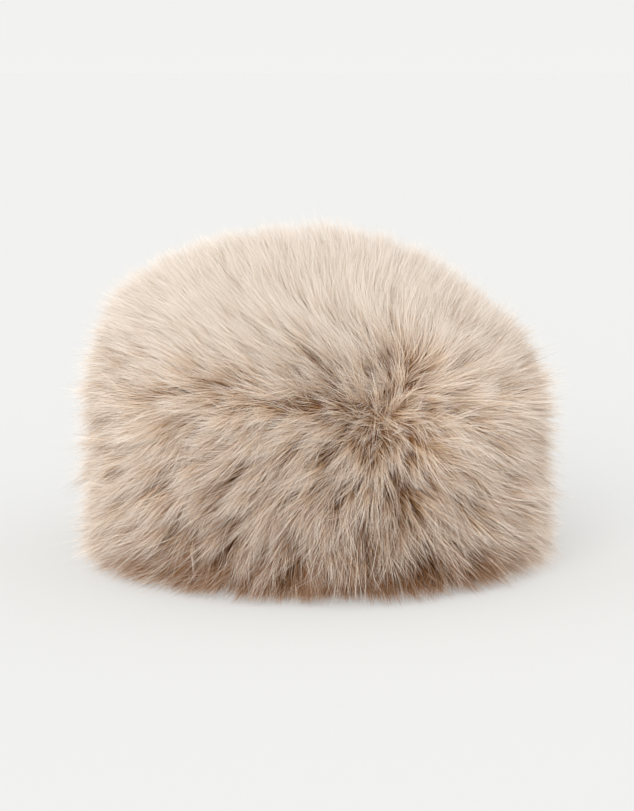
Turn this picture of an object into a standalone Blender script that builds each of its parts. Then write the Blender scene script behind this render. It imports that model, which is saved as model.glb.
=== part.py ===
"""A fur pillbox hat: a side band and a domed top panel of deep-pile fur cloth, hollow inside.

Metres, +Z up. The hat stands on its hem at Z = 0, centred on the Z axis, with its front at -Y.
The fur is a packed pile on a knitted backing, with locks fused to it that lie away from a whorl.
"""

import math
import random

import bmesh
import bpy
import numpy as np
from mathutils import Matrix, Vector

# Head opening and crown, measured inside
HEAD_WIDTH = 0.180
HEAD_LENGTH = 0.190
CROWN_DEPTH = 0.124
TOP_RISE = 0.006
INNER_CORNER = 0.025

# Backing and packed pile together, on the band and on the top
BAND_THICKNESS = 0.030
TOP_THICKNESS = 0.033

# Outline of the packed pile
SHOULDER_HEIGHT = 0.080
SHOULDER_FULLNESS = 2.0
HEM_ROUND = 0.009
HEM_FLARE = 0.003
CROWN_LEAN = 0.008
TURN_STEPS = 48
DOME_STEPS = 9
ROUND_STEPS = 3

# Locks of pile
LOCK_PITCH = 0.0290
LOCK_LENGTH = 0.046
LOCK_WIDTH = 0.025
LOCK_DEPTH = 0.013
LOCK_RELIEF = 0.007
LOCK_SINK = 0.006
LOCK_SIDES = 5
LOCK_VARIATION = 0.25
LOCK_KEEL = 2.0
LOCK_SWAY_DEGREES = 22.0
LOCK_SHIFT = 0.18
SHORTEST_LOCK = 0.35
HEM_ROW_HEIGHT = 0.016
SEAM_ROW_ROOM = 0.012
FLOOR_CLEARANCE = 0.0006
FLOOR_EASE = 0.006
SEAM_CLEARANCE = 0.0015
SEAM_EASE = 0.004

# The pile lies away from this whorl, high on the front and to the wearer's left
WHORL_SIDE = 0.040
WHORL_HEIGHT = 0.092
DROOP = 0.35

# Seam between the band and the top, square to the inner corner
SEAM_DEGREES = 45.0
SEAM_GAP = 0.0003

# The cone that parts the panels: its two radii as shares of the head's and the shoulder's
CUTTER_LOW_SHARE = 0.33
CUTTER_HIGH_SHARE = 2.0

MERGE_DISTANCE = 0.00001
SLOPE_STEP = 0.004
SHARP_DEGREES = 40.0

FUR_COLOUR = (0.62, 0.50, 0.40, 1.0)
FUR_ROUGHNESS = 0.9

SEED = 11

HEAD_RADIUS = HEAD_WIDTH / 2
EXTRA_LENGTH = (HEAD_LENGTH - HEAD_WIDTH) / 2
SHOULDER_RADIUS = HEAD_RADIUS + BAND_THICKNESS
TOP_HEIGHT = CROWN_DEPTH + TOP_RISE + TOP_THICKNESS
FOCUS = Vector((0.0, 0.0, SHOULDER_HEIGHT))

# Each lock's rings: share of its length, share of its width, and how it rises out of the pile
LOCK_RINGS = (
    {"along": 0.0, "width": 0.80, "rise": 0.0},
    {"along": 0.35, "width": 1.00, "rise": 0.45},
    {"along": 0.70, "width": 0.70, "rise": 0.80},
    {"along": 1.0, "width": 0.0, "rise": 0.85},
)


def clear_scene():
    for item in list(bpy.data.objects):
        bpy.data.objects.remove(item)


def new_collection(name):
    collection = bpy.data.collections.new(name)
    bpy.context.scene.collection.children.link(collection)
    return collection


def new_object(name, mesh, collection):
    item = bpy.data.objects.new(name, mesh)
    collection.objects.link(item)
    return item


def as_worn(point):
    """Brings a place on the round hat to the oval one, whose crown leans to the wearer's right."""
    radius = math.hypot(point.x, point.y)
    stretch = EXTRA_LENGTH / max(radius, HEAD_RADIUS)
    climb = (point.z - SHOULDER_HEIGHT) / (TOP_HEIGHT - SHOULDER_HEIGHT)
    climb = min(max(climb, 0.0), 1.0)
    return Vector((point.x - CROWN_LEAN * climb**2, point.y * (1.0 + stretch), point.z))


def outer_profile():
    """The packed pile's outline from the top's middle down to the hem's underside, as (radius, height)."""
    points = []
    power = 2.0 / SHOULDER_FULLNESS
    for step in range(DOME_STEPS + 1):
        turn = math.pi / 2 * (1.0 - step / DOME_STEPS)
        radius = SHOULDER_RADIUS * max(math.cos(turn), 0.0) ** power if step else 0.0
        height = SHOULDER_HEIGHT + (TOP_HEIGHT - SHOULDER_HEIGHT) * math.sin(turn) ** power
        points.append((radius, height))
    hem_radius = SHOULDER_RADIUS + HEM_FLARE
    points.append(((SHOULDER_RADIUS + hem_radius) / 2, (SHOULDER_HEIGHT + HEM_ROUND) / 2))
    for step in range(ROUND_STEPS + 1):
        turn = math.pi / 2 * step / ROUND_STEPS
        radius = hem_radius - HEM_ROUND * (1.0 - math.cos(turn))
        points.append((radius, HEM_ROUND * (1.0 - math.sin(turn))))
    return points


def inner_profile():
    """The backing's inside, from the hem up the wall, round the corner and over to the middle of the top."""
    points = [(HEAD_RADIUS, 0.0)]
    flat_radius = HEAD_RADIUS - INNER_CORNER
    for step in range(ROUND_STEPS + 1):
        turn = math.pi / 2 * step / ROUND_STEPS
        radius = flat_radius + INNER_CORNER * math.cos(turn)
        points.append((radius, CROWN_DEPTH - INNER_CORNER * (1.0 - math.sin(turn))))
    points.append((flat_radius / 2, CROWN_DEPTH + TOP_RISE * (1.0 - 0.5**2)))
    points.append((0.0, CROWN_DEPTH + TOP_RISE))
    return points


def turned_mesh(name, profile, collection):
    """A closed shell turned round the Z axis from a profile, then brought to the hat's oval."""
    mesh = bpy.data.meshes.new(name)
    points = [(radius, 0.0, height) for radius, height in profile]
    edges = [(index, index + 1) for index in range(len(points) - 1)]
    mesh.from_pydata(points, edges, [])
    guide = new_object(name, mesh, collection)
    screw = guide.modifiers.new("turn", "SCREW")
    screw.steps = TURN_STEPS
    screw.render_steps = TURN_STEPS
    screw.use_merge_vertices = True
    screw.merge_threshold = MERGE_DISTANCE
    graph = bpy.context.evaluated_depsgraph_get()
    turned = bpy.data.meshes.new_from_object(guide.evaluated_get(graph))
    bpy.data.objects.remove(guide)
    shell = bmesh.new()
    shell.from_mesh(turned)
    return worn_mesh(shell, turned)


def worn_mesh(shape, mesh):
    """Fills a mesh with a round shape brought to the hat's oval, in triangles, as quads would twist."""
    for vertex in shape.verts:
        vertex.co = as_worn(vertex.co)
    bmesh.ops.triangulate(shape, faces=shape.faces)
    bmesh.ops.recalc_face_normals(shape, faces=shape.faces)
    shape.to_mesh(mesh)
    shape.free()
    mesh.shade_smooth()
    mesh.set_sharp_from_angle(angle=math.radians(SHARP_DEGREES))
    return mesh


class FurSurface:
    """The packed pile's outer surface, found in any direction from a focus inside the round hat."""

    def __init__(self):
        profile = np.array(outer_profile())
        rises = profile[:, 1] - FOCUS.z
        angles = np.arctan2(rises, profile[:, 0])
        order = np.argsort(angles)
        self.angles = angles[order]
        self.reaches = np.hypot(profile[:, 0], rises)[order]

    def towards(self, place):
        """The point of the surface that lies from the focus towards a place."""
        ray = place - FOCUS
        ray.normalize()
        angle = math.atan2(ray.z, math.hypot(ray.x, ray.y))
        return FOCUS + ray * float(np.interp(angle, self.angles, self.reaches))

    def normal(self, place):
        """The outward direction of the surface at a place on it."""
        outward = (place - FOCUS).normalized()
        side = outward.orthogonal().normalized()
        up = outward.cross(side)
        across = self.towards(place + side * SLOPE_STEP) - self.towards(place - side * SLOPE_STEP)
        along = self.towards(place + up * SLOPE_STEP) - self.towards(place - up * SLOPE_STEP)
        found = across.cross(along).normalized()
        return found if found.dot(outward) > 0 else -found


def lie_at(place, normal, sway):
    """The way that a lock lies: away from the whorl and a little down, turned by its own sway."""
    whorl = Vector((WHORL_SIDE, -SHOULDER_RADIUS, WHORL_HEIGHT))
    away = (place - whorl).normalized() + Vector((0.0, 0.0, -DROOP))
    lie = (away - normal * away.dot(normal)).normalized()
    return lie * math.cos(sway) + normal.cross(lie) * math.sin(sway)


def unit_lock():
    """One straight closed lock with a ring at each row of LOCK_RINGS, 1 long and up to 1 across."""
    lock = bmesh.new()
    bmesh.ops.create_cone(lock, cap_ends=True, segments=LOCK_SIDES, radius1=0.5, radius2=0.0, depth=1.0)
    bmesh.ops.translate(lock, verts=lock.verts, vec=(0.0, 0.0, 0.5))
    for ring in LOCK_RINGS[1:-1]:
        geometry = lock.verts[:] + lock.edges[:] + lock.faces[:]
        bmesh.ops.bisect_plane(lock, geom=geometry, plane_co=(0, 0, ring["along"]), plane_no=(0, 0, 1))
    return lock


def grow_lock(locks, unit, surface, middle, lie, size, on_top):
    """Adds one lock to the locks' mesh: rooted in the pile and laid along the surface over its middle place.

    Its underside has a keel that stays in the pile, so that no gap opens under it.
    """
    alongs = [ring["along"] for ring in LOCK_RINGS]
    placed = []
    for vertex in unit.verts:
        along = vertex.co.z
        width = np.interp(along, alongs, [ring["width"] for ring in LOCK_RINGS])
        rise = np.interp(along, alongs, [ring["rise"] for ring in LOCK_RINGS])
        centre = surface.towards(middle + lie * (LOCK_LENGTH * size * (along - 0.5)))
        normal = surface.normal(centre)
        across = lie.cross(normal).normalized()
        half_width = across * (LOCK_WIDTH / 2 * size * width)
        half_depth = normal * (LOCK_DEPTH / 2 * size * width)
        centre = centre + normal * (rise * (LOCK_SINK + LOCK_RELIEF * size) - LOCK_SINK)
        turn = math.atan2(vertex.co.y, vertex.co.x)
        depth_share = math.sin(turn) if math.sin(turn) > 0 else math.sin(turn) * LOCK_KEEL
        place = clear_of_seam(centre + half_width * math.cos(turn) + half_depth * depth_share, on_top)
        place.z = FLOOR_CLEARANCE + eased(place.z - FLOOR_CLEARANCE, FLOOR_EASE)
        placed.append(locks.verts.new(place))
    unit.verts.index_update()
    for face in unit.faces:
        locks.faces.new([placed[vertex.index] for vertex in face.verts])


def row_places(surface, chance, on_top):
    """The middles of one panel's locks: uneven rows along its outline, each staggered against the next."""
    profile = [point for point in reversed(outer_profile()) if point[1] > HEM_ROW_HEIGHT]
    profile.insert(0, (SHOULDER_RADIUS + HEM_FLARE, HEM_ROW_HEIGHT))
    distances = [0.0]
    for (radius, height), (next_radius, next_height) in zip(profile, profile[1:]):
        distances.append(distances[-1] + math.hypot(next_radius - radius, next_height - height))
    climbs = [above_seam(Vector((radius, 0.0, height))) for radius, height in profile]
    seam_distance = float(np.interp(0.0, climbs, distances))
    first = seam_distance + SEAM_ROW_ROOM if on_top else 0.0
    last = distances[-1] if on_top else seam_distance - SEAM_ROW_ROOM
    rows = max(1, round((last - first) / LOCK_PITCH))
    for row in range(rows + 1):
        distance = first + (last - first) * row / rows
        radius = float(np.interp(distance, distances, [point[0] for point in profile]))
        height = float(np.interp(distance, distances, [point[1] for point in profile]))
        count = max(1, round(2 * math.pi * radius / LOCK_PITCH))
        for index in range(count):
            shift = chance.uniform(-LOCK_SHIFT, LOCK_SHIFT)
            turn = 2 * math.pi * (index + 0.5 * (row % 2) + shift) / count
            yield surface.towards(Vector((radius * math.cos(turn), radius * math.sin(turn), height)))


def above_seam(place):
    """How far a place on the round hat lies above the seam's cone, measured straight up."""
    corner_turn = math.radians(SEAM_DEGREES)
    seam_radius = HEAD_RADIUS - INNER_CORNER * (1.0 - math.cos(corner_turn))
    seam_height = CROWN_DEPTH - INNER_CORNER * (1.0 - math.sin(corner_turn))
    radius = math.hypot(place.x, place.y)
    return place.z - seam_height - (radius - seam_radius) * math.tan(corner_turn)


def inside_panel(place, on_top):
    """How far a place on the round hat lies inside its panel, measured square to the seam's cone."""
    distance = above_seam(place) * math.cos(math.radians(SEAM_DEGREES))
    return distance - SEAM_CLEARANCE if on_top else -distance - SEAM_CLEARANCE


def eased(distance, room):
    """A distance that shrinks ever more slowly once it is less than some room, and so never reaches zero."""
    return distance if distance > room else room * math.exp(distance / room - 1.0)


def clear_of_seam(place, on_top):
    """Brings a place that lies near the seam or across it square back into its own panel."""
    distance = inside_panel(place, on_top)
    moved = eased(distance, SEAM_EASE) - distance
    upward = moved if on_top else -moved
    seam_turn = math.radians(SEAM_DEGREES)
    outward = Vector((place.x, place.y, 0.0)).normalized()
    return place + (Vector((0.0, 0.0, math.cos(seam_turn))) - outward * math.sin(seam_turn)) * upward


def fitted_size(surface, middle, lie, size, on_top):
    """The size at which a lock's two ends stop short of the seam, if one of them would cross it."""
    room = max(inside_panel(middle, on_top), 0.0)
    overshoot = 0.0
    for reach in (-LOCK_LENGTH * size / 2, LOCK_LENGTH * size / 2):
        end = surface.towards(middle + lie * reach)
        overshoot = max(overshoot, -inside_panel(end, on_top))
    return size * room / max(room + overshoot, MERGE_DISTANCE)


def locks_mesh(name, surface, on_top):
    """The locks that the top panel holds, or the band, as one mesh. Each of them is closed by itself."""
    chance = random.Random(SEED)
    locks = bmesh.new()
    unit = unit_lock()
    for middle in row_places(surface, chance, on_top):
        sway = math.radians(chance.uniform(-LOCK_SWAY_DEGREES, LOCK_SWAY_DEGREES))
        full_size = 1.0 - LOCK_VARIATION * chance.random()
        lie = lie_at(middle, surface.normal(middle), sway)
        size = fitted_size(surface, middle, lie, full_size, on_top)
        if size > SHORTEST_LOCK:
            grow_lock(locks, unit, surface, middle, lie, size, on_top)
    unit.free()
    return worn_mesh(locks, bpy.data.meshes.new(name))


def seam_cutter(name, drop, collection):
    """A cone that opens upwards through the seam, lowered by a drop: all that lies in it is above the seam.

    It is turned by half a step, so that its edges don't run along the edges of the pile.
    """
    slope = math.tan(math.radians(SEAM_DEGREES))
    low_radius = HEAD_RADIUS * CUTTER_LOW_SHARE
    high_radius = SHOULDER_RADIUS * CUTTER_HIGH_SHARE
    axis_height = -above_seam(Vector((0.0, 0.0, 0.0))) - drop
    cutter = bmesh.new()
    bmesh.ops.create_cone(
        cutter,
        cap_ends=True,
        segments=TURN_STEPS,
        radius1=low_radius,
        radius2=high_radius,
        depth=(high_radius - low_radius) * slope,
    )
    middle = Vector((0.0, 0.0, axis_height + (low_radius + high_radius) / 2 * slope))
    half_step = Matrix.Rotation(math.pi / TURN_STEPS, 3, "Z")
    for vertex in cutter.verts:
        vertex.co = half_step @ vertex.co + middle
    return hide(new_object(name, worn_mesh(cutter, bpy.data.meshes.new(name)), collection))


def hide(helper):
    helper.hide_render = True
    helper.display_type = "WIRE"
    return helper


def add_boolean(item, operation, other, with_itself=False):
    modifier = item.modifiers.new(operation.lower(), "BOOLEAN")
    modifier.operation = operation
    modifier.solver = "EXACT"
    modifier.use_self = with_itself
    modifier.object = other


def fur_material():
    material = bpy.data.materials.new("fur_pile")
    material.use_nodes = True
    shader = material.node_tree.nodes["Principled BSDF"]
    shader.inputs["Base Color"].default_value = FUR_COLOUR
    shader.inputs["Roughness"].default_value = FUR_ROUGHNESS
    shader.inputs["Metallic"].default_value = 0.0
    return material


def fur_panel(name, body, locks, operation, cutter, hat, helpers):
    """One sewn panel: the packed pile, cut off at the seam, with its own locks fused on."""
    panel = new_object(name, body.copy(), hat)
    lock_object = hide(new_object(name + "_locks", locks, helpers))
    add_boolean(panel, operation, cutter)
    add_boolean(panel, "UNION", lock_object, with_itself=True)
    panel.data.materials.clear()
    panel.data.materials.append(fur_material())
    return panel


def build_hat():
    clear_scene()
    hat = new_collection("fur_pillbox_hat")
    helpers = new_collection("helpers")
    surface = FurSurface()
    body = turned_mesh("packed_pile", outer_profile() + inner_profile(), helpers)
    band_cutter = seam_cutter("seam_above_band", SEAM_GAP, helpers)
    top_cutter = seam_cutter("seam_below_top", 0.0, helpers)
    band_locks = locks_mesh("band_locks", surface, False)
    top_locks = locks_mesh("top_locks", surface, True)
    fur_panel("side_band", body, band_locks, "DIFFERENCE", band_cutter, hat, helpers)
    fur_panel("crown_top", body, top_locks, "INTERSECT", top_cutter, hat, helpers)


build_hat()
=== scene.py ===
"""The looks of a long-pile fur pillbox hat: knitted backing, dense underfur and combed wisps of hair."""

import math

import bpy
import numpy as np
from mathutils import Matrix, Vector
from mathutils.kdtree import KDTree


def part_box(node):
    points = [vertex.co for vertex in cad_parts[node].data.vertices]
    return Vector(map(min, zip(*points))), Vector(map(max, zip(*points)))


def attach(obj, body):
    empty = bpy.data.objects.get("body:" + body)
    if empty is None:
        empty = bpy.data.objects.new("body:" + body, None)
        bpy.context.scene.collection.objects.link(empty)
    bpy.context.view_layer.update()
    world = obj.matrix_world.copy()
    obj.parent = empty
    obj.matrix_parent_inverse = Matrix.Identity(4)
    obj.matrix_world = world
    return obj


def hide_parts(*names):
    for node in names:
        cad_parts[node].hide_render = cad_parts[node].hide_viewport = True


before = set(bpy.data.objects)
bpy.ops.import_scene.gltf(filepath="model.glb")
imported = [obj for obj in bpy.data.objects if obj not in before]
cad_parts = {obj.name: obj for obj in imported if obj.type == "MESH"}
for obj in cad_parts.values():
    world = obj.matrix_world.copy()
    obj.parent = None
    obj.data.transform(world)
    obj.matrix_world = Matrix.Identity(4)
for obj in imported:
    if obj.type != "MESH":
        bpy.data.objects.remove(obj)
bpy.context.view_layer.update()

# Sizes of the hat, in metres, from the frame and from the cut of the cloth
BAND_LOW, BAND_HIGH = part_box("side_band")
HALF_WIDTH = (BAND_HIGH.x - BAND_LOW.x) / 2
HALF_LENGTH = (BAND_HIGH.y - BAND_LOW.y) / 2
TOP_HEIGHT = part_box("crown_top")[1].z
HEAD_RADIUS = 0.090
HEAD_DEPTH = 0.124
HEAD_CORNER = 0.025
HEAD_DOME = 0.006
SHOULDER_HEIGHT = 0.080
HEM_FLARE = 0.001
HEM_ROUND = 0.012
CROWN_LEAN = 0.008
EXTRA_LENGTH = HALF_LENGTH - HALF_WIDTH
SEAM_DEGREES = 45.0
SEAM_HALF_DEGREES = 0.3
SEAM_HALF_WAY = 0.0005

# Layers of the fur cloth, from the inside out
BACKING_THICKNESS = 0.0025
BACKING_LIFT = 0.0015
LAYER_GAP = 0.0003
UNDERFUR_DEPTH = 0.015
UNDERFUR_LIFT = 0.0012
POLE_RADIUS = 0.004
ROOT_DEPTH = 0.019
HAIR_OVERHANG = 0.0102
CROWN_OVERHANG = 0.0012
HAIR_SWEEP = 0.0145
HEM_BULGE = 0.0034
FLOOR_CLEARANCE = 0.0006

# Points of the outline's profile: two under the hem, then its round, the shoulder and the dome
HEM_STEPS = 12
DOME_STEPS = 60
HEM_START = 2
DOME_START = HEM_START + HEM_STEPS + 1
SHELL_SIDES = 96
SHELL_STEPS = 14

# Long hair: sizes in metres, leans and lifts in degrees from upright, the rest as shares
HAIR_LENGTH = 0.032
HAIR_WIDTH = 0.00023
HAIR_STATIONS = (0.0, 0.5, 1.0)
HAIR_TAPER = (1.0, 0.85)
WISP_COUNT = 24000
HAIRS_PER_WISP = 12
HAIR_GRID = (WISP_COUNT, HAIRS_PER_WISP)
WISP_RADIUS = 0.0022
WISP_TIP_SHARE = 0.32
CROWN_TIP_SHARE = 0.60
GATHER_POWER = 1.3
TUFT_COUNT = 1700
TUFT_PULL = 0.45
PULL_POWER = 1.5
ROOT_LEAN = 22.0
ROOT_LEAN_SHARE = 0.6
TIP_LEAN = 63.0
STANDING_LEAN = 24.0
WISP_LEAN_LIMITS = (8.0, 84.0)
HAIR_LEAN_LIMIT = 4.0
HAIR_ROLL = 32.0
STRAY_SHARE = 0.10
STRAY_LIFT = 20.0
STRAY_TURN = 2.5
STRAY_LENGTH = 0.08
STRAY_WIDTH = 0.8
GUARD_SHARE = 0.12
GUARD_WIDTH = 1.6
WHISKER_LIFT = 16.0

# Lengths of hair as shares: where it stands, where it parts, at a tuft's fringe and from hair to hair
STANDING_LENGTH = 0.74
PARTED_TRIM = 0.45
FRINGE_TRIM = 0.22
HAIR_LENGTH_MIDDLE = -0.05
HAIR_LENGTH_LIMIT = 0.09

# How far tufts, wisps and hairs differ by chance: turns and lifts in degrees, lengths and tones as shares
TUFT_SPREAD = {"turn": 15.0, "lift": 11.0, "length": 0.08, "tone": 0.06}
WISP_SPREAD = {"turn": 14.0, "lift": 11.0, "length": 0.09, "tone": 0.19}
HAIR_SPREAD = {"turn": 8.0, "lift": 6.0, "length": 0.15, "tone": 0.30}
MESS_SPREAD = {"turn": 100.0, "lift": 20.0}
SPOT_SPREAD = {"way": 0.0005, "around": 0.005}
SWELLS = ({"length": 0.060, "seed": 21, "turn": 12.0}, {"length": 0.022, "seed": 22, "turn": 9.0})

# How much less the crown has of what differs on the band, as shares
TOP_CALM = {"lie": 0.5, "fringe": 0.6, "wisp_tone": 0.65, "hair_tone": 0.7, "pull": 0.85}

# Tone of the hair, from 0 for the darkest to 1 for the palest
PALE_TONE = 0.84
SHADED_TONE = 0.61
UPPER_SHADE = 0.2
LOWER_SHADE = 0.8
HEM_SHADE = 0.98
PARTED_SHADE = 0.50
FRINGE_SHADE = 0.26
FRINGE_MIDDLE = 0.45
WHORL_TONE = 0.22
# Painted light: wisps on the upper front that face forward are made paler
FRONT_PAINTED_LIGHT = 0.20
# Painted light: the crown's top is made paler where the cloth faces up
TOP_PAINTED_LIGHT = 0.04
STRAY_TONE = 0.22
GUARD_TONE = 0.42
TONE_LIMITS = (0.03, 0.97)

# Where a hair's colour starts along the ramp, and where it ends
ROOT_COLOUR = 0.02
# Painted light: high on the band a hair's colour starts paler along the ramp
PAINTED_LIGHT_ROOT_COLOUR = 0.34
TIP_COLOUR = 0.98

# Where the hair turns on the front: across from the middle and up from the floor
WHORL = {"across": 0.0450, "up": 0.0910, "reach": 0.014, "mess": 0.017}
PARTING = {"across": -0.050, "up": 0.1040, "reach": 0.03, "edge": 0.005, "push": 0.75}
CREASE = {"aside": 0.003, "reach": 0.02, "edge": 0.005, "push": 0.7}
DROOP = 0.55
BACK_DROOP = 1.1
SIDE_SWEEP = 0.12
MESS_STANDING = 0.65

# Places on the front where the hair parts and shows its brown roots, with painted shade on the parted wisps
GAPS = (
    {"across": 0.0490, "up": 0.1170, "reach": 0.011, "push": 1.5, "swirl": 0.0},
    {"across": 0.0490, "up": 0.0860, "reach": 0.008, "push": 1.3, "swirl": 0.0},
    {"across": 0.0500, "up": 0.0740, "reach": 0.008, "push": 1.2, "swirl": 0.0},
    {"across": 0.0450, "up": 0.0610, "reach": 0.010, "push": 1.4, "swirl": 0.0},
    {"across": 0.0270, "up": 0.0380, "reach": 0.009, "push": 1.6, "swirl": 0.4},
    {"across": -0.0080, "up": 0.0390, "reach": 0.008, "push": 1.2, "swirl": 0.0},
    {"across": -0.0390, "up": 0.0460, "reach": 0.008, "push": 1.2, "swirl": 0.0},
    {"across": -0.0640, "up": 0.0410, "reach": 0.010, "push": 1.5, "swirl": -0.5},
    {"across": -0.0730, "up": 0.0640, "reach": 0.008, "push": 1.2, "swirl": 0.0},
    {"across": -0.0600, "up": 0.0850, "reach": 0.011, "push": 1.2, "swirl": 1.2},
    {"across": -0.0420, "up": 0.1040, "reach": 0.008, "push": 1.5, "swirl": -0.4},
    {"across": -0.0270, "up": 0.1050, "reach": 0.007, "push": 1.2, "swirl": 0.0},
    {"across": 0.0080, "up": 0.1000, "reach": 0.007, "push": 1.0, "swirl": 0.0},
    {"across": 0.0140, "up": 0.1130, "reach": 0.006, "push": 0.8, "swirl": 0.0},
    {"across": -0.0210, "up": 0.1330, "reach": 0.006, "push": 1.0, "swirl": 0.0},
    {"across": 0.0130, "up": 0.0140, "reach": 0.009, "push": 1.2, "swirl": 0.0},
    {"across": 0.0540, "up": 0.0280, "reach": 0.008, "push": 1.1, "swirl": 0.0},
    {"across": -0.0970, "up": 0.1310, "reach": 0.008, "push": 1.0, "swirl": 0.0},
)
GAP_MIDDLE = 0.002
SWIRL_REACH = 1.8
PARTED_REACH = 0.7
PARTED_PUSH = 0.75

# Where each zone of the hair fades in, from none of it to all of it. Heights and distances are in metres,
# and the zones named for a slope go by a part of the outline's outward direction.
FADES = {
    "front": (0.03, 0.09),
    "back": (-0.02, 0.06),
    "side_slope": (0.75, 0.35),
    "brim_slope": (1.00, 0.70),
    "top_slope": (0.40, 0.85),
    # painted light on the crown's top, by how far the cloth faces up
    "painted_light_slope": (0.60, 0.95),
    "facing_slope": (0.30, 0.85),
    "parting_far_end": (-0.075, -0.045),
    "parting_whorl_end": (0.055, 0.035),
    "crease_low_end": (0.035, 0.055),
    "crease_high_end": (0.122, 0.105),
    "below_parting": (-0.035, 0.03),
    "lying_flow": (0.0, 0.85),
    "upper_shade": (0.122, 0.090),
    "lower_shade": (0.085, 0.035),
    "hem": (0.038, 0.010),
    # painted light on the upper front, by height
    "painted_light_front": (0.055, 0.090),
    # painted light on the roots high on the band, by height
    "painted_light_roots": (0.100, 0.128),
    "fringe": (0.0018, 0.0052),
    "bulge_across": (-0.05, 0.07),
    "bulge_front": (-0.02, 0.05),
    "bulge_height": (0.070, 0.020),
    "sweep_climb": (0.65, 1.0),
}

# Camera, from the photograph's perspective
CAMERA_DISTANCE = 1.2
CAMERA_ELEVATION = 8.75
CAMERA_TARGET = Vector((0.0, 0.0, 0.0790))
LENS_PIXELS = 2258.0
IMAGE_HEIGHT = 811
SENSOR_MM = 36.0

# Studio
FLOOR_RADIUS = 40.0
FLOOR_SIDES = 96
FLOOR_GLOW = 0.323
HORIZON_LIGHT = 0.895
ZENITH_LIGHT = 0.56
LAMP_POWER = 2.15
LAMP_DEGREES = 50.0
LAMP_PLACE = (-0.35, -1.50, 0.75)

SEED = 7
rng = np.random.default_rng(SEED)


def unit(vectors):
    lengths = np.linalg.norm(vectors, axis=-1, keepdims=True)
    return vectors / np.maximum(lengths, 1e-9)


def chance(spread, shape):
    """Random values round 0 with a usual size."""
    return rng.normal(0.0, spread, shape)


def chance_turns(degrees, shape):
    """Random turns in radians, with a usual size in degrees."""
    return chance(math.radians(degrees), shape)


def fade(zone, values):
    """How far values are within a zone, smoothly from 0 to 1."""
    low, high = FADES[zone]
    share = np.clip((values - low) / (high - low), 0.0, 1.0)
    return share * share * (3.0 - 2.0 * share)


def outline_profile():
    """The fur's outline as radii and heights: out under the hem, up the band, over to the crown's middle."""
    shoulder_radius = HALF_WIDTH - HAIR_OVERHANG
    hem_radius = shoulder_radius + HEM_FLARE
    flat_margin = 0.001
    corner = np.linspace(0.0, math.pi / 2, HEM_STEPS)
    dome = np.linspace(0.0, math.pi / 2, DOME_STEPS)[1:]
    radii = np.concatenate((
        [HEAD_RADIUS + BACKING_THICKNESS, hem_radius - HEM_ROUND - flat_margin],
        hem_radius - HEM_ROUND * (1.0 - np.sin(corner)),
        [shoulder_radius],
        shoulder_radius * np.cos(dome),
    ))
    heights = np.concatenate((
        [0.0, 0.0],
        HEM_ROUND * (1.0 - np.cos(corner)),
        [SHOULDER_HEIGHT],
        SHOULDER_HEIGHT + (TOP_HEIGHT - CROWN_OVERHANG - SHOULDER_HEIGHT) * np.sin(dome),
    ))
    return np.maximum(radii, 0.0), heights


PROFILE_RADII, PROFILE_HEIGHTS = outline_profile()
PROFILE_STEPS = np.hypot(np.diff(PROFILE_RADII), np.diff(PROFILE_HEIGHTS))
PROFILE_WAY = np.concatenate(([0.0], np.cumsum(PROFILE_STEPS)))


def on_outline(way, around):
    """Points of the outline at distances along its profile and turns round it, before the crown leans."""
    radius = np.interp(way, PROFILE_WAY, PROFILE_RADII)
    height = np.interp(way, PROFILE_WAY, PROFILE_HEIGHTS)
    stretch = 1.0 + EXTRA_LENGTH / np.maximum(radius, HEAD_RADIUS)
    return np.stack((radius * np.cos(around), radius * np.sin(around) * stretch, height), axis=-1)


def outline_normals(way, around):
    """Outward directions of the outline, from points a little way apart on it."""
    step = 0.002
    safe = np.clip(way, step, PROFILE_WAY[-1] - step)
    along = on_outline(safe + step, around) - on_outline(safe - step, around)
    turn = 0.01
    across = on_outline(safe, around + turn) - on_outline(safe, around - turn)
    return unit(np.cross(across, along))


def front_point(spot):
    """The place on the front of the outline at a spot's distance across and height."""
    way = np.interp(spot["up"], PROFILE_HEIGHTS[HEM_START:], PROFILE_WAY[HEM_START:])
    radius = np.interp(way, PROFILE_WAY, PROFILE_RADII)
    around = -math.acos(min(max(spot["across"] / radius, -1.0), 1.0))
    return on_outline(np.array(way), np.array(around))


def waves(places, length, seed):
    """A smooth random value between about -1 and 1 at each place, with waves of a given length."""
    own_rng = np.random.default_rng(seed)
    total = np.zeros(places.shape[:-1])
    count = 7
    shortest, longest = 0.7, 1.5
    for _ in range(count):
        direction = unit(own_rng.normal(size=3))
        size = length * own_rng.uniform(shortest, longest)
        total += np.sin(places @ direction * (2 * math.pi / size) + own_rng.uniform(0, 2 * math.pi))
    return total / math.sqrt(count)


def bell(distance, reach):
    return np.exp(-((distance / reach) ** 2))


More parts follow.
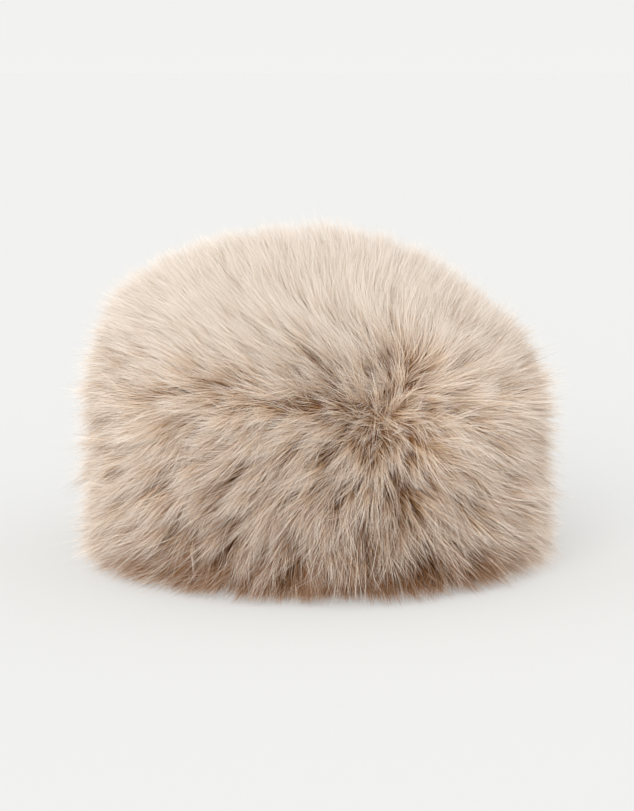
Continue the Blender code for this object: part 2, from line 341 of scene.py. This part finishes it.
def comb(places, normals):
    """How hair is combed at places on the outline.

    It gives the direction along the cloth, how far the hair lies down, how messy it is and how far it is
    parted.
    """
    from_whorl = places - front_point(WHORL)
    distance = np.linalg.norm(from_whorl, axis=-1, keepdims=True)
    flow = from_whorl / np.sqrt(distance**2 + WHORL["reach"]**2)
    front = fade("front", -places[:, 1])
    back = fade("back", places[:, 1])
    across, up = places[:, 0], places[:, 2]

    share = np.clip((across - PARTING["across"]) / (WHORL["across"] - PARTING["across"]), 0.0, 1.0)
    rise = up - (PARTING["up"] + (WHORL["up"] - PARTING["up"]) * share)
    near_parting = front * fade("parting_far_end", across) * fade("parting_whorl_end", across)
    near_parting *= np.exp(-np.abs(rise) / PARTING["reach"])
    flow[:, 2] += np.tanh(rise / PARTING["edge"]) * near_parting * PARTING["push"]

    aside = across - WHORL["across"] - CREASE["aside"]
    near_crease = front * fade("crease_low_end", up) * fade("crease_high_end", up)
    near_crease *= np.exp(-np.abs(aside) / CREASE["reach"])
    flow[:, 0] += np.tanh(aside / CREASE["edge"]) * near_crease * CREASE["push"]

    front_fall = DROOP * fade("below_parting", -rise) * (1.0 - back) * fade("side_slope", normals[:, 2])
    flow[:, 2] -= front_fall + BACK_DROOP * back * fade("brim_slope", normals[:, 2])
    flow[:, 0] -= SIDE_SWEEP * (1.0 - back)
    parted = open_gaps(places, normals, flow)

    flow -= normals * np.sum(flow * normals, axis=-1, keepdims=True)
    messy = front * bell(distance[:, 0], WHORL["mess"])
    flat = fade("lying_flow", np.linalg.norm(flow, axis=-1)) * (1.0 - MESS_STANDING * messy)
    return {"lie": unit(flow), "flat": flat, "messy": messy, "parted": parted}


def open_gaps(places, normals, flow):
    """Combs the hair out of each gap and round it, in the flow, and gives how far the hair is parted."""
    parted = np.zeros(len(places))
    for gap in GAPS:
        away = places - front_point(gap)
        distance = np.linalg.norm(away, axis=-1, keepdims=True)
        outward = away / (distance + GAP_MIDDLE)
        sideways = np.cross(normals, outward)
        near = bell(distance, gap["reach"])
        wide = bell(distance, gap["reach"] * SWIRL_REACH)
        flow += outward * near * gap["push"] + sideways * wide * gap["swirl"]
        parted += bell(distance[:, 0], gap["reach"] * PARTED_REACH) * gap["push"] * PARTED_PUSH
    return np.minimum(parted, 1.0)


def swing(lie, normals, turns):
    """Turns directions along the cloth by turns in radians."""
    turns = turns[..., None]
    return lie * np.cos(turns) + np.cross(normals, lie) * np.sin(turns)


def bent_path(normals, lie, root_lean, tip_lean, stations):
    """Points of hairs 1 long that bend from a lean at the root to a lean at the tip."""
    least_bend = 0.02
    bend = np.maximum(tip_lean - root_lean, least_bend)[..., None]
    start = root_lean[..., None]
    reached = start + bend * stations
    out = (np.sin(reached) - np.sin(start)) / bend
    along = (np.cos(start) - np.cos(reached)) / bend
    return normals[..., None, :] * out[..., None] + lie[..., None, :] * along[..., None]


def even_spots(count):
    """Evenly spread spots over the outline, as distances along its profile and turns round the hat.

    They are steps of the plastic number, which spreads points over an area as the golden one does on a line.
    """
    plastic = 1.32471795724474602596
    order = np.arange(1, count + 1)
    first = (order / plastic) % 1.0
    second = (order / plastic**2) % 1.0
    middles = (PROFILE_RADII[1:] + PROFILE_RADII[:-1]) / 2
    area = np.concatenate(([0.0], np.cumsum(middles * np.diff(PROFILE_WAY))))
    way = np.interp(first * area[-1], area, PROFILE_WAY)
    return way, second * 2 * math.pi


def nearest(spots, places):
    tree = KDTree(len(spots))
    for index, spot in enumerate(spots):
        tree.insert(spot, index)
    tree.balance()
    return np.array([tree.find(place)[1] for place in places])


def lean_crown(points, sweep=0.0):
    """Leans the crown a little to the wearer's right, and sweeps its shoulder's hair further that way."""
    climb = np.clip((points[..., 2] - SHOULDER_HEIGHT) / (TOP_HEIGHT - SHOULDER_HEIGHT), 0.0, 1.0)
    points[..., 0] -= (CROWN_LEAN + sweep * (1.0 - fade("sweep_climb", climb))) * climb**2
    return points


def trimmed_at_floor(size, roots, paths):
    """The sizes of hairs, with those that would reach the floor trimmed just above it."""
    least_drop = 0.01
    drop = np.maximum(-paths[..., -1, 2], least_drop)
    room = np.maximum(roots[..., 2] - FLOOR_CLEARANCE, 0.0)
    return np.minimum(size, room / drop)


def above_seam(places):
    """Whether places lie on the crown's side of the seam, a cone through the middle of the inner corner."""
    turn = math.radians(SEAM_DEGREES)
    seam_radius = HEAD_RADIUS - HEAD_CORNER * (1.0 - math.cos(turn))
    seam_height = HEAD_DEPTH - HEAD_CORNER * (1.0 - math.sin(turn))
    radius = np.hypot(places[:, 0], places[:, 1])
    return places[:, 2] - seam_height > (radius - seam_radius) * math.tan(turn)


def gather_tufts(places, top):
    """What each wisp has from its tuft: turn, lift, length, tone, way to the middle and share of fringe."""
    middles = on_outline(*even_spots(TUFT_COUNT))
    tuft_of = nearest(middles, places)
    to_middle = middles[tuft_of] - places
    return {
        "turn": chance_turns(TUFT_SPREAD["turn"], TUFT_COUNT)[tuft_of],
        "lift": chance_turns(TUFT_SPREAD["lift"], TUFT_COUNT)[tuft_of],
        "length": chance(TUFT_SPREAD["length"], TUFT_COUNT)[tuft_of],
        "tone": chance(TUFT_SPREAD["tone"], TUFT_COUNT)[tuft_of],
        "to_middle": to_middle,
        "fringe": fade("fringe", np.linalg.norm(to_middle, axis=-1)) * (1.0 - TOP_CALM["fringe"] * top),
    }


def lay_wisps(places, normals, combed, tufts, calm):
    """The direction in which each wisp lies, and its leans at the root and the tip."""
    messy = combed["messy"]
    turn = tufts["turn"] + chance_turns(WISP_SPREAD["turn"], WISP_COUNT)
    turn += sum(
        waves(places, swell["length"], swell["seed"]) * math.radians(swell["turn"]) for swell in SWELLS
    )
    turn = turn * calm + chance_turns(MESS_SPREAD["turn"], WISP_COUNT) * messy
    tip = math.radians(STANDING_LEAN) + math.radians(TIP_LEAN - STANDING_LEAN) * combed["flat"]
    tip += (tufts["lift"] + chance_turns(WISP_SPREAD["lift"], WISP_COUNT)) * calm
    tip += np.abs(chance_turns(MESS_SPREAD["lift"], WISP_COUNT)) * messy
    tip = np.clip(tip, *np.radians(WISP_LEAN_LIMITS))
    root = np.minimum(math.radians(ROOT_LEAN), tip * ROOT_LEAN_SHARE)
    return swing(combed["lie"], normals, turn), root, tip


def size_wisps(combed, tufts, calm):
    """The length of each wisp: shorter where it stands, where it parts and at its tuft's fringe."""
    size = HAIR_LENGTH * (STANDING_LENGTH + (1.0 - STANDING_LENGTH) * combed["flat"])
    size *= 1.0 + (tufts["length"] + chance(WISP_SPREAD["length"], WISP_COUNT)) * calm
    return size * ((1.0 - PARTED_TRIM * combed["parted"]) * (1.0 - FRINGE_TRIM * tufts["fringe"]))


def tone_wisps(places, normals, combed, tufts, top):
    """Each wisp's tone: painted shade low on the front, at the hem, where it parts and at its tuft's fringe;
    painted light on the upper front and crown.
    """
    height = places[:, 2]
    facing = fade("facing_slope", -normals[:, 1])
    shade = facing * (UPPER_SHADE * fade("upper_shade", height) + LOWER_SHADE * fade("lower_shade", height))
    hem = fade("hem", height) * facing
    tone = PALE_TONE - (PALE_TONE - SHADED_TONE) * shade - HEM_SHADE * hem - PARTED_SHADE * combed["parted"]
    tone += FRINGE_SHADE * (FRINGE_MIDDLE - tufts["fringe"]) * (1.0 - TOP_CALM["fringe"] * top)
    tone += WHORL_TONE * combed["messy"]
    tone += FRONT_PAINTED_LIGHT * facing * fade("painted_light_front", height) + TOP_PAINTED_LIGHT * fade("painted_light_slope", normals[:, 2])
    wisp_tone = chance(WISP_SPREAD["tone"], WISP_COUNT)
    return tone + (tufts["tone"] + wisp_tone) * (1.0 - TOP_CALM["wisp_tone"] * top)


def grow_wisps():
    """The wisps of hair: where each grows and how it lies, with its length, tones and pull to its tuft."""
    way, around = even_spots(WISP_COUNT)
    way = way + chance(SPOT_SPREAD["way"], WISP_COUNT)
    around = around + chance(SPOT_SPREAD["around"], WISP_COUNT)
    places = on_outline(way, around)
    normals = outline_normals(way, around)
    combed = comb(places, normals)
    top = fade("top_slope", normals[:, 2])
    calm = 1.0 - TOP_CALM["lie"] * top
    tufts = gather_tufts(places, top)
    lie, root_lean, tip_lean = lay_wisps(places, normals, combed, tufts, calm)
    size = size_wisps(combed, tufts, calm)
    tone = tone_wisps(places, normals, combed, tufts, top)
    pull = tufts["to_middle"] * TUFT_PULL * (1.0 - TOP_CALM["pull"] * top)[:, None]
    pull -= normals * np.sum(pull * normals, axis=-1, keepdims=True)
    # Painted light: paler roots high on the band, except where the hair parts
    painted_light_roots = fade("painted_light_roots", places[:, 2]) * (1.0 - combed["parted"])
    return {
        "place": places,
        "normal": normals,
        "lie": lie,
        "root_lean": root_lean,
        "tip_lean": tip_lean,
        "size": size,
        "tone": tone,
        "root_colour": ROOT_COLOUR + (PAINTED_LIGHT_ROOT_COLOUR - ROOT_COLOUR) * painted_light_roots,
        "pull": pull,
        "top": top,
        "calm": calm,
    }


def scatter_hairs(wisps):
    """How far each hair grows from its wisp's middle, along the cloth."""
    spread = np.sqrt(rng.uniform(0.0, 1.0, HAIR_GRID)) * WISP_RADIUS
    turn = rng.uniform(0.0, 2 * math.pi, HAIR_GRID)[..., None]
    beside = np.cross(wisps["normal"], wisps["lie"])
    offset = wisps["lie"][:, None] * np.cos(turn) + beside[:, None] * np.sin(turn)
    return offset * spread[..., None]


def vary_hairs(wisps):
    """Each hair's own lie, leans, size, tone and width.

    Strays lift out of their wisp, guard hairs are thick and pale, and a hair that is both is a whisker.
    """
    calm = wisps["calm"][:, None]
    stray = rng.uniform(0.0, 1.0, HAIR_GRID) < STRAY_SHARE
    guard = rng.uniform(0.0, 1.0, HAIR_GRID) < GUARD_SHARE
    turn = chance_turns(HAIR_SPREAD["turn"], HAIR_GRID) * np.where(stray, STRAY_TURN, 1.0)
    normal = np.broadcast_to(wisps["normal"][:, None], HAIR_GRID + (3,))
    lie = swing(wisps["lie"][:, None].repeat(HAIRS_PER_WISP, 1), normal, turn)
    tip = wisps["tip_lean"][:, None] + chance_turns(HAIR_SPREAD["lift"], HAIR_GRID)
    tip -= stray * math.radians(STRAY_LIFT) * calm
    tip -= (stray & guard) * math.radians(WHISKER_LIFT)
    tip = np.maximum(tip, math.radians(HAIR_LEAN_LIMIT))
    root = np.minimum(wisps["root_lean"][:, None], tip * ROOT_LEAN_SHARE)
    longer = rng.normal(HAIR_LENGTH_MIDDLE, HAIR_SPREAD["length"], HAIR_GRID)
    longer = np.minimum(longer, HAIR_LENGTH_LIMIT)
    size = wisps["size"][:, None] * (1.0 + longer + STRAY_LENGTH * stray * (calm - 0.5))
    tone_spread = HAIR_SPREAD["tone"] * (1.0 - TOP_CALM["hair_tone"] * wisps["top"])[:, None]
    tone = wisps["tone"][:, None] + chance(1.0, HAIR_GRID) * tone_spread + STRAY_TONE * stray
    tone = np.clip(np.clip(tone, *TONE_LIMITS) + GUARD_TONE * guard, *TONE_LIMITS)
    width = HAIR_WIDTH * np.where(stray, STRAY_WIDTH, 1.0) * np.where(guard, GUARD_WIDTH, 1.0)
    return {
        "normal": normal, "lie": lie, "root": root, "tip": tip,
        "size": size, "tone": tone, "width": width,
    }


def hair_points(wisps, hairs, offset):
    """The points of each hair, from its root in the cloth to its tip, before the crown leans."""
    places, normals = wisps["place"], wisps["normal"]
    stations = np.array(HAIR_STATIONS)
    paths = bent_path(hairs["normal"], hairs["lie"], hairs["root"], hairs["tip"], stations)
    bulge = HEM_BULGE * fade("bulge_across", places[:, 0]) * fade("bulge_front", -places[:, 1])
    bulge *= fade("bulge_height", places[:, 2])
    roots = (places - normals * (ROOT_DEPTH - bulge[:, None]))[:, None] + offset
    size = trimmed_at_floor(hairs["size"], roots, paths)
    tip_share = WISP_TIP_SHARE + (CROWN_TIP_SHARE - WISP_TIP_SHARE) * wisps["top"]
    gathered = (1.0 - tip_share)[:, None] * stations**GATHER_POWER
    points = roots[:, :, None] - offset[:, :, None] * gathered[:, None, :, None]
    points = points + wisps["pull"][:, None, None] * (stations**PULL_POWER)[None, None, :, None]
    points = points + paths * size[..., None, None]
    points[..., 2] = np.maximum(points[..., 2], FLOOR_CLEARANCE)
    return points


def hair_sides(hairs, points):
    """Half the width of each hair as a direction, rolled by chance round the hair's own way."""
    roll = chance_turns(HAIR_ROLL, HAIR_GRID)
    side = np.cross(hairs["normal"], hairs["lie"])
    heading = unit(points[:, :, -1] - points[:, :, 0])
    side = unit(side * np.cos(roll)[..., None] + np.cross(heading, side) * np.sin(roll)[..., None])
    return side * hairs["width"][..., None] / 2


def hair_mesh(name, points, side, tone, root_colour):
    """One mesh of flat tapering hairs, each of a quad and a triangle.

    The UV map holds each hair's tone, and how far its colour is along the ramp from root to tip.
    """
    count, corner_count = len(points), 5
    taper = np.array(HAIR_TAPER)[:, None]
    left = points[:, :2] - side[:, None] * taper
    right = points[:, :2] + side[:, None] * taper
    corners = np.stack((left[:, 0], right[:, 0], left[:, 1], right[:, 1], points[:, 2]), axis=1)
    pattern = np.array([0, 1, 3, 2, 2, 3, 4])
    loops = (np.arange(count)[:, None] * corner_count + pattern).ravel()
    starts = (np.arange(count)[:, None] * len(pattern) + np.array([0, 4])).ravel()

    mesh = bpy.data.meshes.new(name)
    mesh.vertices.add(count * corner_count)
    mesh.vertices.foreach_set("co", corners.astype(np.float32).ravel())
    mesh.loops.add(len(loops))
    mesh.loops.foreach_set("vertex_index", loops.astype(np.int32))
    mesh.polygons.add(count * 2)
    mesh.polygons.foreach_set("loop_start", starts.astype(np.int32))
    mesh.update(calc_edges=True)
    mesh.shade_smooth()

    half = 0.004
    across = np.array([-half, half, -half, half, 0.0])
    along = np.array([0.0, 0.0, HAIR_STATIONS[1], HAIR_STATIONS[1], 1.0])
    spots = np.empty((count, len(pattern), 2))
    spots[..., 0] = tone[:, None] + across[pattern]
    spots[..., 1] = root_colour[:, None] + (TIP_COLOUR - root_colour[:, None]) * along[pattern]
    layer = mesh.uv_layers.new(name="OFBake")
    layer.uv.foreach_set("vector", spots.astype(np.float32).ravel())
    piece = bpy.data.objects.new(name, mesh)
    bpy.context.scene.collection.objects.link(piece)
    return piece


def linear(hex_colour):
    """An sRGB hex colour as linear RGBA."""
    values = [int(hex_colour[index:index + 2], 16) / 255 for index in (1, 3, 5)]
    channels = [value / 12.92 if value <= 0.04045 else ((value + 0.055) / 1.055) ** 2.4 for value in values]
    return channels + [1.0]


def add_node(tree, kind, settings=None, inputs=None, links=None):
    """Adds a node with its settings, plain input values and links from (node, output) to its inputs."""
    node = tree.nodes.new(kind)
    for key, value in (settings or {}).items():
        setattr(node, key, value)
    for key, value in (inputs or {}).items():
        node.inputs[key].default_value = value
    for key, (source, output) in (links or {}).items():
        tree.links.new(source.outputs[output], node.inputs[key])
    return node


def new_material(name):
    material = bpy.data.materials.new(name)
    material.use_nodes = True
    tree = material.node_tree
    return material, tree, tree.nodes["Principled BSDF"]


def set_ramp(node, stops):
    """Gives a colour ramp its stops: a share along it and an sRGB hex colour each."""
    elements = node.color_ramp.elements
    while len(elements) > 1:
        elements.remove(elements[-1])
    elements[0].position, elements[0].color = stops[0][0], linear(stops[0][1])
    for position, colour in stops[1:]:
        elements.new(position).color = linear(colour)


def hair_material():
    """Modacrylic fur hair: brown root, pale tip, each hair of its own tone, with a faint silky sheen."""
    material, tree, shader = new_material("modacrylic_fur")
    spot = add_node(tree, "ShaderNodeUVMap", {"uv_map": "OFBake"})
    parts = add_node(tree, "ShaderNodeSeparateXYZ", links={"Vector": (spot, "UV")})
    dark = add_node(tree, "ShaderNodeValToRGB", links={"Fac": (parts, "Y")})
    pale = add_node(tree, "ShaderNodeValToRGB", links={"Fac": (parts, "Y")})
    set_ramp(dark, (
        (0.0, "#361F0D"), (0.35, "#623817"), (0.6, "#82552F"), (0.85, "#9A6F49"), (1.0, "#A77E58"),
    ))
    set_ramp(pale, (
        (0.0, "#84552C"), (0.35, "#CEA77E"), (0.6, "#EFDCC7"), (0.85, "#F9F0E6"), (1.0, "#F0E6DB"),
    ))
    blend = add_node(
        tree, "ShaderNodeMix", {"data_type": "RGBA"},
        links={"Factor": (parts, "X"), "A": (dark, "Color"), "B": (pale, "Color")},
    )
    tree.links.new(blend.outputs["Result"], shader.inputs["Base Color"])
    shader.inputs["Roughness"].default_value = 0.55
    shader.inputs["Specular IOR Level"].default_value = 0.04
    shader.inputs["Sheen Weight"].default_value = 0.03
    shader.inputs["Sheen Roughness"].default_value = 0.45
    return material


def underfur_material():
    """Short dense underfur: matt brown with a fine fluffy grain, seen only where the long hair parts."""
    material, tree, shader = new_material("underfur_brown")
    place = add_node(tree, "ShaderNodeTexCoord")
    grain = add_node(
        tree, "ShaderNodeTexNoise",
        inputs={"Scale": 420.0, "Detail": 4.0}, links={"Vector": (place, "Object")},
    )
    colour = add_node(tree, "ShaderNodeValToRGB", links={"Fac": (grain, "Fac")})
    set_ramp(colour, ((0.3, "#5E3A1E"), (0.7, "#8E6238")))
    tree.links.new(colour.outputs["Color"], shader.inputs["Base Color"])
    bump = add_node(
        tree, "ShaderNodeBump",
        inputs={"Strength": 0.8, "Distance": 0.0015}, links={"Height": (grain, "Fac")},
    )
    tree.links.new(bump.outputs["Normal"], shader.inputs["Normal"])
    shader.inputs["Roughness"].default_value = 0.95
    return material


def knit_material():
    """Warp-knitted polyester backing: fine ribs of stitches about 1.6 mm apart, matt and a little fuzzy."""
    material, tree, shader = new_material("knitted_backing")
    place = add_node(tree, "ShaderNodeTexCoord")
    ribs = add_node(
        tree, "ShaderNodeTexWave", {"wave_type": "BANDS", "bands_direction": "Z"},
        inputs={"Scale": 100.0, "Distortion": 1.5, "Detail": 2.0}, links={"Vector": (place, "Object")},
    )
    colour = add_node(tree, "ShaderNodeValToRGB", links={"Fac": (ribs, "Fac")})
    set_ramp(colour, ((0.0, "#9C8B79"), (1.0, "#C9B9A6")))
    tree.links.new(colour.outputs["Color"], shader.inputs["Base Color"])
    bump = add_node(
        tree, "ShaderNodeBump",
        inputs={"Strength": 0.6, "Distance": 0.0006}, links={"Height": (ribs, "Fac")},
    )
    tree.links.new(bump.outputs["Normal"], shader.inputs["Normal"])
    shader.inputs["Roughness"].default_value = 0.9
    return material


def deselect():
    bpy.ops.object.select_all(action="DESELECT")


def ring_shell(name, rings, closes_on_itself):
    """A turned shell modelled from a circle: each further ring is extruded, moved and resized from the last.

    It is either a loop whose last ring is bridged to its first, or a closed dish with a pole at each end.
    """
    deselect()
    radius, height = rings[0]
    fill = "NOTHING" if closes_on_itself else "TRIFAN"
    bpy.ops.mesh.primitive_circle_add(
        vertices=SHELL_SIDES, radius=radius, fill_type=fill, location=(0, 0, height)
    )
    piece = bpy.context.object
    piece.name = name
    piece.data.name = name
    bpy.ops.object.mode_set(mode="EDIT")
    bpy.ops.mesh.select_all(action="DESELECT")
    bpy.ops.object.mode_set(mode="OBJECT")
    for edge in piece.data.edges:
        edge.select = all(piece.data.vertices[index].co.length > radius / 2 for index in edge.vertices)
    for vertex in piece.data.vertices:
        vertex.select = vertex.co.length > radius / 2
    bpy.ops.object.mode_set(mode="EDIT")
    bpy.ops.mesh.select_mode(type="EDGE")
    for next_radius, next_height in rings[1:]:
        move = {"value": (0, 0, next_height - height)}
        bpy.ops.mesh.extrude_edges_move(TRANSFORM_OT_translate=move)
        share = next_radius / radius
        bpy.ops.transform.resize(value=(share, share, 1), center_override=(0, 0, next_height))
        radius, height = next_radius, next_height
    if closes_on_itself:
        bpy.ops.mesh.select_all(action="DESELECT")
        bpy.ops.mesh.select_non_manifold()
        bpy.ops.mesh.bridge_edge_loops()
    else:
        bpy.ops.mesh.extrude_edges_move()
        bpy.ops.mesh.merge(type="CENTER")
    bpy.ops.mesh.select_all(action="SELECT")
    bpy.ops.mesh.remove_doubles(threshold=0.00001)
    bpy.ops.mesh.normals_make_consistent(inside=False)
    bpy.ops.object.mode_set(mode="OBJECT")
    bpy.ops.object.transform_apply(location=True, rotation=True, scale=True)
    make_oval(piece)
    bpy.ops.object.shade_smooth()
    return piece


def make_oval(piece):
    """Stretches a round shell along the head, as the outline is, and leans its crown."""
    points = np.empty(len(piece.data.vertices) * 3, dtype=np.float32)
    piece.data.vertices.foreach_get("co", points)
    points = points.reshape(-1, 3).astype(float)
    points[:, 1] *= 1.0 + EXTRA_LENGTH / np.maximum(np.hypot(points[:, 0], points[:, 1]), HEAD_RADIUS)
    piece.data.vertices.foreach_set("co", lean_crown(points).astype(np.float32).ravel())
    piece.data.update()


def inner_arc(offset, start_degrees, end_degrees, steps=6):
    """Rings round the head hollow's upper corner, a given distance outside it."""
    middle_radius = HEAD_RADIUS - HEAD_CORNER
    middle_height = HEAD_DEPTH - HEAD_CORNER
    size = HEAD_CORNER + offset
    turns = np.radians(np.linspace(start_degrees, end_degrees, steps))
    return [(middle_radius + size * math.cos(turn), middle_height + size * math.sin(turn)) for turn in turns]


def dome_rings(offset, steps=5):
    """Rings over the hollow's low dome, from the corner's end to near its middle."""
    corner_end = HEAD_RADIUS - HEAD_CORNER
    last_radius = 0.006
    rings = []
    for radius in np.linspace(corner_end, last_radius, steps):
        rings.append((radius, HEAD_DEPTH + offset + HEAD_DOME * (1.0 - (radius / corner_end) ** 2)))
    return rings


def underfur_outline(low_way, high_way):
    """Rings of the underfur's outer face: the outline brought inwards by the underfur's depth."""
    ways = np.linspace(low_way, high_way, SHELL_STEPS)
    turn = np.zeros(SHELL_STEPS)
    points = on_outline(ways, turn) - outline_normals(ways, turn) * UNDERFUR_DEPTH
    return [(max(point[0], POLE_RADIUS), max(point[2], UNDERFUR_LIFT)) for point in points]


def seam_way():
    """Where the seam's cone meets the outline, as a distance along the profile."""
    samples = 400
    ways = np.linspace(PROFILE_WAY[DOME_START], PROFILE_WAY[-1], samples)
    on_crown = above_seam(on_outline(ways, np.zeros(samples)))
    return ways[np.argmax(on_crown)]


BAND_ARC_END = SEAM_DEGREES - SEAM_HALF_DEGREES
CROWN_ARC_START = SEAM_DEGREES + SEAM_HALF_DEGREES
CROWN_ARC_END = 89.0


def make_backing():
    """The knitted cloth that the hair stands in: a band with a turned edge, and the crown's disc."""
    thick = BACKING_THICKNESS
    outside = HEAD_RADIUS + thick
    band = [(outside, BACKING_LIFT), (HEAD_RADIUS, BACKING_LIFT), (HEAD_RADIUS, HEAD_DEPTH / 2)]
    band += inner_arc(0.0, 0.0, BAND_ARC_END)
    band += inner_arc(thick, BAND_ARC_END, 0.0)
    band += [(outside, HEAD_DEPTH / 2)]
    crown = list(reversed(dome_rings(0.0)))
    crown += inner_arc(0.0, CROWN_ARC_END, CROWN_ARC_START)
    crown += inner_arc(thick, CROWN_ARC_START, CROWN_ARC_END)
    crown += dome_rings(thick)
    return ring_shell("band_backing", band, True), ring_shell("crown_backing", crown, False)


def make_underfur():
    """The dense short fur between the backing and the long hair, one solid layer on each panel."""
    seam = seam_way()
    inside = BACKING_THICKNESS + LAYER_GAP
    band = [(HEAD_RADIUS + inside, UNDERFUR_LIFT)]
    band += underfur_outline(PROFILE_WAY[1], seam - SEAM_HALF_WAY)
    band += inner_arc(inside, BAND_ARC_END, 0.0)
    band += [(HEAD_RADIUS + inside, HEAD_DEPTH / 2)]
    crown = list(reversed(dome_rings(inside)))
    crown += inner_arc(inside, CROWN_ARC_END, CROWN_ARC_START)
    crown += underfur_outline(seam + SEAM_HALF_WAY, PROFILE_WAY[-1] - POLE_RADIUS)
    return ring_shell("band_underfur", band, True), ring_shell("crown_underfur", crown, False)


def make_hair():
    """The long hair in six pieces: the crown's front and back, and the band's front, left, back and right."""
    wisps = grow_wisps()
    offset = scatter_hairs(wisps)
    hairs = vary_hairs(wisps)
    points = hair_points(wisps, hairs, offset)
    side = hair_sides(hairs, points)
    points = lean_crown(points, HAIR_SWEEP)

    places = wisps["place"]
    crown = above_seam(places)
    back = places[:, 1] > 0
    around = np.arctan2(places[:, 1], places[:, 0])
    quarter = np.round((around + math.pi / 2) / (math.pi / 2)).astype(int) % 4
    groups = {"crown_front_hair": crown & ~back, "crown_back_hair": crown & back}
    for index, name in enumerate(("front_hair", "left_hair", "back_hair", "right_hair")):
        groups[name] = ~crown & (quarter == index)
    pieces = []
    for name, chosen in groups.items():
        pieces.append(hair_mesh(
            name,
            points[chosen].reshape(-1, len(HAIR_STATIONS), 3),
            side[chosen].reshape(-1, 3),
            hairs["tone"][chosen].reshape(-1),
            wisps["root_colour"][chosen].repeat(HAIRS_PER_WISP),
        ))
    return pieces


def make_floor():
    """A wide pale floor, so far across that its edge meets the pale surroundings at the horizon."""
    deselect()
    bpy.ops.mesh.primitive_circle_add(
        vertices=FLOOR_SIDES, radius=FLOOR_RADIUS, fill_type="NGON", location=(0, 0, 0)
    )
    floor = bpy.context.object
    floor.name = "studio_floor"
    bpy.ops.object.mode_set(mode="EDIT")
    bpy.ops.mesh.select_all(action="SELECT")
    bpy.ops.mesh.inset(thickness=FLOOR_RADIUS / 2)
    bpy.ops.object.mode_set(mode="OBJECT")
    floor.data.materials.append(paper_material())


def paper_material():
    """Matt white paper: no gloss, and lit a little by itself so that it meets the pale surroundings."""
    material, _, shader = new_material("matt_paper")
    shader.inputs["Base Color"].default_value = linear("#CBCBCA")
    shader.inputs["Emission Color"].default_value = linear("#FFFFFD")
    shader.inputs["Emission Strength"].default_value = FLOOR_GLOW
    shader.inputs["Roughness"].default_value = 1.0
    shader.inputs["Specular IOR Level"].default_value = 0.0
    return material


def make_light():
    """Pale light from all round, brightest at the horizon, and one wide soft lamp over the camera."""
    world = bpy.data.worlds.new("pale_studio")
    world.use_nodes = True
    tree = world.node_tree
    background = tree.nodes["Background"]
    background.inputs["Color"].default_value = linear("#FFFFFE")
    place = add_node(tree, "ShaderNodeTexCoord")
    parts = add_node(tree, "ShaderNodeSeparateXYZ", links={"Vector": (place, "Generated")})
    strength = add_node(
        tree, "ShaderNodeMapRange",
        inputs={"To Min": HORIZON_LIGHT, "To Max": ZENITH_LIGHT}, links={"Value": (parts, "Z")},
    )
    tree.links.new(strength.outputs["Result"], background.inputs["Strength"])
    bpy.context.scene.world = world
    lamp = bpy.data.lights.new("front_lamp", "SUN")
    lamp.energy = LAMP_POWER
    lamp.angle = math.radians(LAMP_DEGREES)
    holder = bpy.data.objects.new("front_lamp", lamp)
    holder.location = LAMP_PLACE
    holder.rotation_euler = (CAMERA_TARGET - holder.location).to_track_quat("-Z", "Y").to_euler()
    bpy.context.scene.collection.objects.link(holder)


def make_camera():
    data = bpy.data.cameras.new("camera")
    data.lens = LENS_PIXELS * SENSOR_MM / IMAGE_HEIGHT
    data.sensor_width = SENSOR_MM
    camera = bpy.data.objects.new("camera", data)
    turn = math.radians(CAMERA_ELEVATION)
    back = Vector((0.0, -math.cos(turn), math.sin(turn)))
    camera.location = CAMERA_TARGET + back * CAMERA_DISTANCE
    camera.rotation_euler = (-back).to_track_quat("-Z", "Y").to_euler()
    bpy.context.scene.collection.objects.link(camera)
    bpy.context.scene.camera = camera


def finish_piece(piece, material, nodes=()):
    piece.data.materials.clear()
    piece.data.materials.append(material)
    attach(piece, "root")
    if nodes:
        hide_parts(*nodes)


make_camera()
make_light()
make_floor()
band_backing, crown_backing = make_backing()
band_underfur, crown_underfur = make_underfur()
knit = knit_material()
underfur = underfur_material()
finish_piece(band_backing, knit)
finish_piece(crown_backing, knit)
finish_piece(band_underfur, underfur, ["side_band"])
finish_piece(crown_underfur, underfur, ["crown_top"])
fur = hair_material()
for piece in make_hair():
    finish_piece(piece, fur)

bpy.context.scene.view_settings.view_transform = "Standard"
